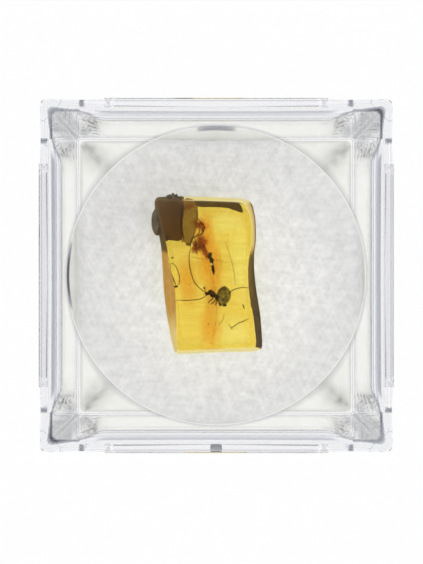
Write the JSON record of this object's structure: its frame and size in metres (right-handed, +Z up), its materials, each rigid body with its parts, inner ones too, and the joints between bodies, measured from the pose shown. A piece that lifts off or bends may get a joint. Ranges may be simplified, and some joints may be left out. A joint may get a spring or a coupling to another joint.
{
  "type": "magnifier display box",
  "caption": "Clear square display box: moulded tray, lift-off lid with a domed magnifying lens moulded in, wadding liner, fibre pad and a polished amber specimen.",
  "frame": {"origin": "centre of the underside, on the surface the box stands on", "axes": "+Z up, towards the lens; -Y is the side with the moulding gate on its lid tab; +X to the right"},
  "size_m": [0.038, 0.038, 0.0302],
  "materials": {
    "clear_plastic": "water-clear moulded acrylic, polished tool finish",
    "wadding": "off-white wadding sheet",
    "pad_fibre": "light grey-white fibre pad",
    "amber": "polished natural resin, honey yellow"
  },
  "bodies": {
    "tray_body": {"tray": "clear_plastic", "floor_liner": "wadding", "fibre_pad": "pad_fibre"},
    "lid_body": {"lens_lid": "clear_plastic"},
    "specimen_body": {"amber_specimen": "amber"}
  },
  "joints": [
    {"name": "lid_lift", "type": "slide", "parent": "tray_body", "child": "lid_body", "axis": [0, 0, 1], "range_m": [0, 0.03]},
    {"name": "specimen_lift", "type": "slide", "parent": "tray_body", "child": "specimen_body", "axis": [0, 0, 1], "range_m": [0, 0.012]}
  ]
}
